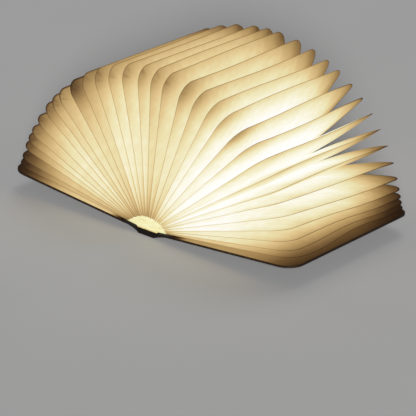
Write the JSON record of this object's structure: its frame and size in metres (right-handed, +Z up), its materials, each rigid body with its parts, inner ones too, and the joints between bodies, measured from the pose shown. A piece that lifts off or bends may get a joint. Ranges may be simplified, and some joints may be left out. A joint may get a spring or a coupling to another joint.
{
  "type": "folding book lamp",
  "caption": "Folding book lamp: a hard-cover book whose glowing pages fan out round a light bar in the spine when its two covers are opened.",
  "frame": {"origin": "middle of the spine housing's underside, where the open lamp rests on the table", "axes": "+X across the open book towards the right cover, +Y along the spine away from the viewer, +Z up"},
  "size_m": [0.3754, 0.215, 0.1797],
  "materials": {
    "page_sheet": "matt spun-bonded sheet that glows from within",
    "sleeve_sheet": "matt spun-bonded sheet over the light bar",
    "cover_veneer": "dark stained veneer, satin",
    "bookcloth": "dark woven bookcloth",
    "endpaper": "smooth dark brown paper",
    "magnet_plating": "nickel plated",
    "housing_plastic": "fine moulded texture",
    "tray_metal": "brushed",
    "led_board_mask": "white solder mask",
    "led_resin": "yellow resin",
    "opal_plastic": "opal, frosted",
    "cap_plastic": "moulded white",
    "screw_steel": "zinc plated",
    "battery_film": "shrink film",
    "board_green": "green solder mask",
    "socket_shell": "tin plated",
    "light_pipe": "clear red",
    "sensor_black": "moulded",
    "wire_red": "insulated wire"
  },
  "bodies": {
    "spine": {"spine_housing": "housing_plastic", "led_tray": "tray_metal", "led_board": "led_board_mask", "led_chips": "led_resin", "diffuser": "opal_plastic", "end_cap_near": "cap_plastic", "end_cap_far": "cap_plastic", "tray_screws": "screw_steel", "battery": "battery_film", "charge_board": "board_green", "charge_socket": "socket_shell", "charge_light": "light_pipe", "cover_sensor": "sensor_black", "wires": "wire_red", "binding_sleeve": "sleeve_sheet", "gusset_near": "sleeve_sheet", "gusset_far": "sleeve_sheet"},
    "left_cover": {"left_cover_board": "cover_veneer", "left_hinge_strip": "bookcloth", "left_endpaper": "endpaper", "left_magnets": "magnet_plating"},
    "right_cover": {"right_cover_board": "cover_veneer", "right_hinge_strip": "bookcloth", "right_endpaper": "endpaper", "right_magnets": "magnet_plating"},
    "page_01": {"page_01": "page_sheet"},
    "page_02": {"page_02": "page_sheet"},
    "page_03": {"page_03": "page_sheet"},
    "page_04": {"page_04": "page_sheet"},
    "page_05": {"page_05": "page_sheet"},
    "page_06": {"page_06": "page_sheet"},
    "page_07": {"page_07": "page_sheet"},
    "page_08": {"page_08": "page_sheet"},
    "page_09": {"page_09": "page_sheet"},
    "page_10": {"page_10": "page_sheet"},
    "page_11": {"page_11": "page_sheet"},
    "page_12": {"page_12": "page_sheet"},
    "page_13": {"page_13": "page_sheet"},
    "page_14": {"page_14": "page_sheet"},
    "page_15": {"page_15": "page_sheet"},
    "page_16": {"page_16": "page_sheet"},
    "page_17": {"page_17": "page_sheet"},
    "page_18": {"page_18": "page_sheet"},
    "page_19": {"page_19": "page_sheet"},
    "page_20": {"page_20": "page_sheet"},
    "page_21": {"page_21": "page_sheet"},
    "page_22": {"page_22": "page_sheet"},
    "page_23": {"page_23": "page_sheet"},
    "page_24": {"page_24": "page_sheet"},
    "page_25": {"page_25": "page_sheet"},
    "page_26": {"page_26": "page_sheet"},
    "page_27": {"page_27": "page_sheet"},
    "page_28": {"page_28": "page_sheet"},
    "page_29": {"page_29": "page_sheet"},
    "page_30": {"page_30": "page_sheet"},
    "page_31": {"page_31": "page_sheet"},
    "page_32": {"page_32": "page_sheet"}
  },
  "joints": [
    {"name": "left_cover_hinge", "type": "hinge", "parent": "spine", "child": "left_cover", "pos_m": [-0.0141, 0, 0.0064], "axis": [0, 1, 0], "range_deg": [-98.9, 85], "deforming": ["binding_sleeve", "gusset_near", "gusset_far"]},
    {"name": "right_cover_hinge", "type": "hinge", "parent": "spine", "child": "right_cover", "pos_m": [0.0141, 0, 0.0064], "axis": [0, -1, 0], "range_deg": [-98.9, 85]},
    {"name": "page_01_hinge", "type": "hinge", "parent": "spine", "child": "page_01", "pos_m": [0.0134, 0, 0.008], "axis": [0, -1, 0], "range_deg": [-96.35, 82.81]},
    {"name": "page_02_hinge", "type": "hinge", "parent": "spine", "child": "page_02", "pos_m": [0.01254, 0, 0.008], "axis": [0, -1, 0], "range_deg": [-92.71, 79.68]},
    {"name": "page_03_hinge", "type": "hinge", "parent": "spine", "child": "page_03", "pos_m": [0.01167, 0, 0.008], "axis": [0, -1, 0], "range_deg": [-88.55, 76.11]},
    {"name": "page_04_hinge", "type": "hinge", "parent": "spine", "child": "page_04", "pos_m": [0.01081, 0, 0.008], "axis": [0, -1, 0], "range_deg": [-83.92, 72.12]},
    {"name": "page_05_hinge", "type": "hinge", "parent": "spine", "child": "page_05", "pos_m": [0.00994, 0, 0.008], "axis": [0, -1, 0], "range_deg": [-78.84, 67.76]},
    {"name": "page_06_hinge", "type": "hinge", "parent": "spine", "child": "page_06", "pos_m": [0.00908, 0, 0.008], "axis": [0, -1, 0], "range_deg": [-73.35, 63.04]},
    {"name": "page_07_hinge", "type": "hinge", "parent": "spine", "child": "page_07", "pos_m": [0.00821, 0, 0.008], "axis": [0, -1, 0], "range_deg": [-67.49, 58.01]},
    {"name": "page_08_hinge", "type": "hinge", "parent": "spine", "child": "page_08", "pos_m": [0.00735, 0, 0.008], "axis": [0, -1, 0], "range_deg": [-61.29, 52.68]},
    {"name": "page_09_hinge", "type": "hinge", "parent": "spine", "child": "page_09", "pos_m": [0.00648, 0, 0.008], "axis": [0, -1, 0], "range_deg": [-54.79, 47.09]},
    {"name": "page_10_hinge", "type": "hinge", "parent": "spine", "child": "page_10", "pos_m": [0.00562, 0, 0.008], "axis": [0, -1, 0], "range_deg": [-48.03, 41.28]},
    {"name": "page_11_hinge", "type": "hinge", "parent": "spine", "child": "page_11", "pos_m": [0.00475, 0, 0.008], "axis": [0, -1, 0], "range_deg": [-41.03, 35.27]},
    {"name": "page_12_hinge", "type": "hinge", "parent": "spine", "child": "page_12", "pos_m": [0.00389, 0, 0.008], "axis": [0, -1, 0], "range_deg": [-33.84, 29.09]},
    {"name": "page_13_hinge", "type": "hinge", "parent": "spine", "child": "page_13", "pos_m": [0.00303, 0, 0.008], "axis": [0, -1, 0], "range_deg": [-26.49, 22.77]},
    {"name": "page_14_hinge", "type": "hinge", "parent": "spine", "child": "page_14", "pos_m": [0.00216, 0, 0.008], "axis": [0, -1, 0], "range_deg": [-19.01, 16.34]},
    {"name": "page_15_hinge", "type": "hinge", "parent": "spine", "child": "page_15", "pos_m": [0.0013, 0, 0.008], "axis": [0, -1, 0], "range_deg": [-11.45, 9.84]},
    {"name": "page_16_hinge", "type": "hinge", "parent": "spine", "child": "page_16", "pos_m": [0.00043, 0, 0.008], "axis": [0, -1, 0], "range_deg": [-3.83, 3.29]},
    {"name": "page_17_hinge", "type": "hinge", "parent": "spine", "child": "page_17", "pos_m": [-0.00043, 0, 0.008], "axis": [0, 1, 0], "range_deg": [-3.83, 3.29]},
    {"name": "page_18_hinge", "type": "hinge", "parent": "spine", "child": "page_18", "pos_m": [-0.0013, 0, 0.008], "axis": [0, 1, 0], "range_deg": [-11.45, 9.84]},
    {"name": "page_19_hinge", "type": "hinge", "parent": "spine", "child": "page_19", "pos_m": [-0.00216, 0, 0.008], "axis": [0, 1, 0], "range_deg": [-19.01, 16.34]},
    {"name": "page_20_hinge", "type": "hinge", "parent": "spine", "child": "page_20", "pos_m": [-0.00303, 0, 0.008], "axis": [0, 1, 0], "range_deg": [-26.49, 22.77]},
    {"name": "page_21_hinge", "type": "hinge", "parent": "spine", "child": "page_21", "pos_m": [-0.00389, 0, 0.008], "axis": [0, 1, 0], "range_deg": [-33.84, 29.09]},
    {"name": "page_22_hinge", "type": "hinge", "parent": "spine", "child": "page_22", "pos_m": [-0.00475, 0, 0.008], "axis": [0, 1, 0], "range_deg": [-41.03, 35.27]},
    {"name": "page_23_hinge", "type": "hinge", "parent": "spine", "child": "page_23", "pos_m": [-0.00562, 0, 0.008], "axis": [0, 1, 0], "range_deg": [-48.03, 41.28]},
    {"name": "page_24_hinge", "type": "hinge", "parent": "spine", "child": "page_24", "pos_m": [-0.00648, 0, 0.008], "axis": [0, 1, 0], "range_deg": [-54.79, 47.09]},
    {"name": "page_25_hinge", "type": "hinge", "parent": "spine", "child": "page_25", "pos_m": [-0.00735, 0, 0.008], "axis": [0, 1, 0], "range_deg": [-61.29, 52.68]},
    {"name": "page_26_hinge", "type": "hinge", "parent": "spine", "child": "page_26", "pos_m": [-0.00821, 0, 0.008], "axis": [0, 1, 0], "range_deg": [-67.49, 58.01]},
    {"name": "page_27_hinge", "type": "hinge", "parent": "spine", "child": "page_27", "pos_m": [-0.00908, 0, 0.008], "axis": [0, 1, 0], "range_deg": [-73.35, 63.04]},
    {"name": "page_28_hinge", "type": "hinge", "parent": "spine", "child": "page_28", "pos_m": [-0.00994, 0, 0.008], "axis": [0, 1, 0], "range_deg": [-78.84, 67.76]},
    {"name": "page_29_hinge", "type": "hinge", "parent": "spine", "child": "page_29", "pos_m": [-0.01081, 0, 0.008], "axis": [0, 1, 0], "range_deg": [-83.92, 72.12]},
    {"name": "page_30_hinge", "type": "hinge", "parent": "spine", "child": "page_30", "pos_m": [-0.01167, 0, 0.008], "axis": [0, 1, 0], "range_deg": [-88.55, 76.11]},
    {"name": "page_31_hinge", "type": "hinge", "parent": "spine", "child": "page_31", "pos_m": [-0.01254, 0, 0.008], "axis": [0, 1, 0], "range_deg": [-92.71, 79.68]},
    {"name": "page_32_hinge", "type": "hinge", "parent": "spine", "child": "page_32", "pos_m": [-0.0134, 0, 0.008], "axis": [0, 1, 0], "range_deg": [-96.35, 82.81]}
  ],
  "couplings": [
    {"joint": "right_cover_hinge", "follows": "left_cover_hinge", "ratio": 1},
    {"joint": "page_01_hinge", "follows": "left_cover_hinge", "ratio": 0.97408},
    {"joint": "page_02_hinge", "follows": "left_cover_hinge", "ratio": 0.93728},
    {"joint": "page_03_hinge", "follows": "left_cover_hinge", "ratio": 0.89527},
    {"joint": "page_04_hinge", "follows": "left_cover_hinge", "ratio": 0.8484},
    {"joint": "page_05_hinge", "follows": "left_cover_hinge", "ratio": 0.79705},
    {"joint": "page_06_hinge", "follows": "left_cover_hinge", "ratio": 0.74157},
    {"joint": "page_07_hinge", "follows": "left_cover_hinge", "ratio": 0.68232},
    {"joint": "page_08_hinge", "follows": "left_cover_hinge", "ratio": 0.61966},
    {"joint": "page_09_hinge", "follows": "left_cover_hinge", "ratio": 0.55394},
    {"joint": "page_10_hinge", "follows": "left_cover_hinge", "ratio": 0.48553},
    {"joint": "page_11_hinge", "follows": "left_cover_hinge", "ratio": 0.41478},
    {"joint": "page_12_hinge", "follows": "left_cover_hinge", "ratio": 0.34206},
    {"joint": "page_13_hinge", "follows": "left_cover_hinge", "ratio": 0.26772},
    {"joint": "page_14_hinge", "follows": "left_cover_hinge", "ratio": 0.19213},
    {"joint": "page_15_hinge", "follows": "left_cover_hinge", "ratio": 0.11564},
    {"joint": "page_16_hinge", "follows": "left_cover_hinge", "ratio": 0.038605},
    {"joint": "page_17_hinge", "follows": "left_cover_hinge", "ratio": 0.038605},
    {"joint": "page_18_hinge", "follows": "left_cover_hinge", "ratio": 0.11564},
    {"joint": "page_19_hinge", "follows": "left_cover_hinge", "ratio": 0.19213},
    {"joint": "page_20_hinge", "follows": "left_cover_hinge", "ratio": 0.26772},
    {"joint": "page_21_hinge", "follows": "left_cover_hinge", "ratio": 0.34206},
    {"joint": "page_22_hinge", "follows": "left_cover_hinge", "ratio": 0.41478},
    {"joint": "page_23_hinge", "follows": "left_cover_hinge", "ratio": 0.48553},
    {"joint": "page_24_hinge", "follows": "left_cover_hinge", "ratio": 0.55394},
    {"joint": "page_25_hinge", "follows": "left_cover_hinge", "ratio": 0.61966},
    {"joint": "page_26_hinge", "follows": "left_cover_hinge", "ratio": 0.68232},
    {"joint": "page_27_hinge", "follows": "left_cover_hinge", "ratio": 0.74157},
    {"joint": "page_28_hinge", "follows": "left_cover_hinge", "ratio": 0.79705},
    {"joint": "page_29_hinge", "follows": "left_cover_hinge", "ratio": 0.8484},
    {"joint": "page_30_hinge", "follows": "left_cover_hinge", "ratio": 0.89527},
    {"joint": "page_31_hinge", "follows": "left_cover_hinge", "ratio": 0.93728},
    {"joint": "page_32_hinge", "follows": "left_cover_hinge", "ratio": 0.97408}
  ]
}
